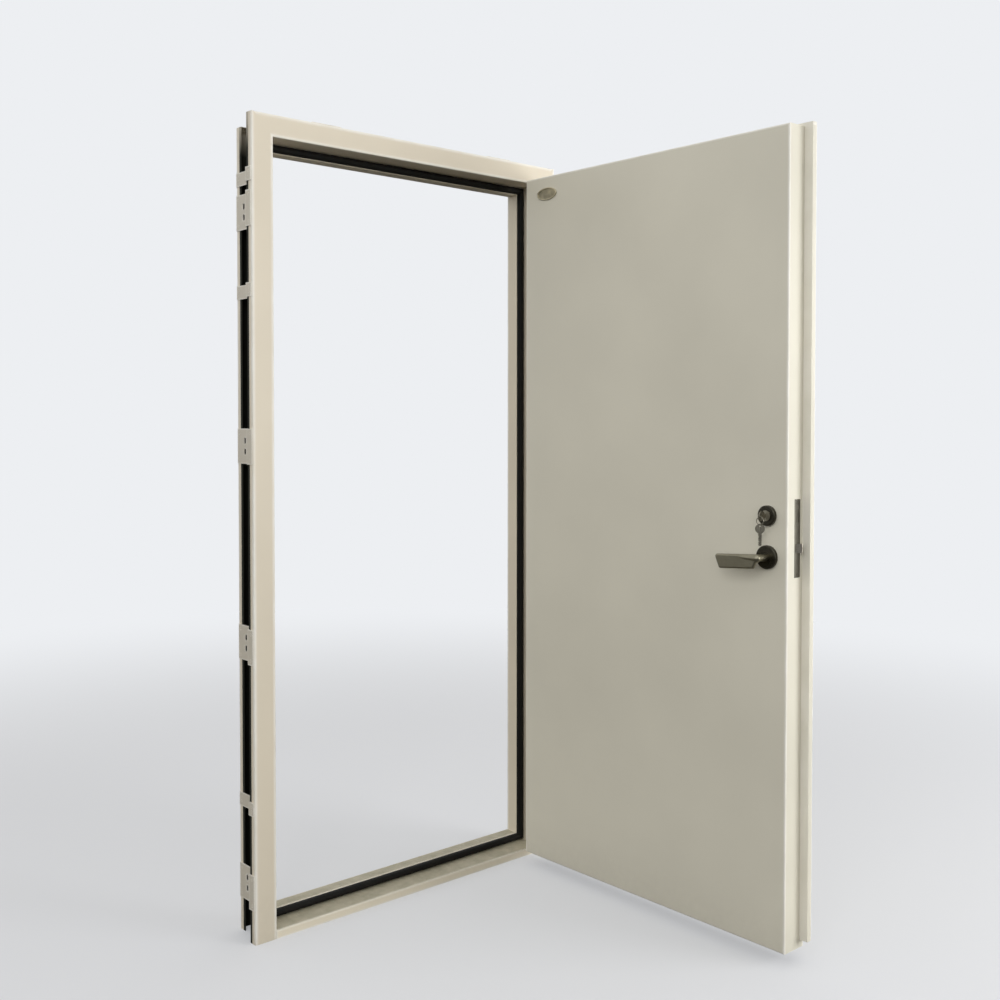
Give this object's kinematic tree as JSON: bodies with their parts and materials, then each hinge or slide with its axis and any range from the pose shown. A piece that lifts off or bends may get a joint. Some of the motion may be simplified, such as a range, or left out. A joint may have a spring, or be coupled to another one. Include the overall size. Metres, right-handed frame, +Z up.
{
  "type": "soundproof door",
  "caption": "Steel soundproof door set: pressed frame with bulb seals and sill, thick overlapping leaf on barrel hinges standing open, lever handles, mortise lock and key.",
  "frame": {"origin": "on the floor, at the middle of the doorway's width and of the frame's depth, on the underside of the plate under the sill", "axes": "+X to the right seen from the front, where the hinges are; +Y into the wall; +Z up"},
  "size_m": [1.054, 1.095, 2.096],
  "materials": {
    "frame_paint": "cream baked enamel, satin",
    "leaf_paint": "cream baked enamel, satin",
    "seal_rubber": "black extruded rubber, matt",
    "strap_steel": "thin primer coat, matt",
    "hinge_steel": "cream baked enamel, satin",
    "lock_steel": "satin stainless steel",
    "handle_nickel": "dark satin nickel",
    "cylinder_brass": "nickel-plated brass",
    "key_steel": "polished nickel silver",
    "core_wool": "mineral wool slab"
  },
  "bodies": {
    "frame": {"left_jamb": "frame_paint", "right_jamb": "frame_paint", "head": "frame_paint", "sill": "frame_paint", "left_seal": "seal_rubber", "right_seal": "seal_rubber", "head_seal": "seal_rubber", "sill_seal": "seal_rubber", "left_anchor_plates": "strap_steel", "right_anchor_plates": "strap_steel", "head_anchor_plates": "strap_steel", "sill_anchor_plate": "strap_steel", "left_straps": "strap_steel", "right_straps": "strap_steel", "strike_plate": "lock_steel", "frame_hinge_bottom": "hinge_steel", "frame_hinge_middle": "hinge_steel", "frame_hinge_top": "hinge_steel"},
    "leaf": {"leaf_back_pan": "leaf_paint", "leaf_front_pan": "leaf_paint", "leaf_core": "core_wool", "lock_faceplate": "lock_steel", "leaf_hinge_bottom": "hinge_steel", "leaf_hinge_middle": "hinge_steel", "leaf_hinge_top": "hinge_steel", "inside_lever_rose": "handle_nickel", "outside_lever_rose": "handle_nickel", "inside_cylinder_rose": "handle_nickel", "outside_cylinder_rose": "handle_nickel", "lock_cylinder": "cylinder_brass"},
    "lever": {"inside_lever": "handle_nickel", "outside_lever": "handle_nickel", "lever_spindle": "lock_steel"},
    "latch": {"latch_bolt": "lock_steel"},
    "bolt": {"dead_bolt": "lock_steel"},
    "key": {"key": "key_steel", "cylinder_plug": "cylinder_brass", "key_ring": "key_steel", "spare_key": "key_steel"}
  },
  "joints": [
    {"name": "leaf_swing", "type": "hinge", "parent": "frame", "child": "leaf", "pos_m": [0.463, -0.094, 0], "axis": [0, 0, 1], "range_deg": [-90, 80]},
    {"name": "lever_turn", "type": "hinge", "parent": "leaf", "child": "lever", "pos_m": [0.372, -0.957, 0.994], "axis": [-1, 0, 0], "range_deg": [0, 45], "stiffness_Nm_per_rad": 1.5, "springref_deg": -34.38},
    {"name": "latch_slide", "type": "slide", "parent": "leaf", "child": "latch", "axis": [0, 1, 0], "range_m": [0, 0.012]},
    {"name": "key_turn", "type": "hinge", "parent": "leaf", "child": "key", "pos_m": [0.372, -0.957, 1.095], "axis": [-1, 0, 0], "range_deg": [0, 360]},
    {"name": "bolt_slide", "type": "slide", "parent": "leaf", "child": "bolt", "axis": [0, -1, 0], "range_m": [0, 0.02]}
  ],
  "couplings": [
    {"joint": "latch_slide", "follows": "lever_turn", "m_per_rad": 0.015278},
    {"joint": "bolt_slide", "follows": "key_turn", "m_per_rad": 0.003183}
  ]
}
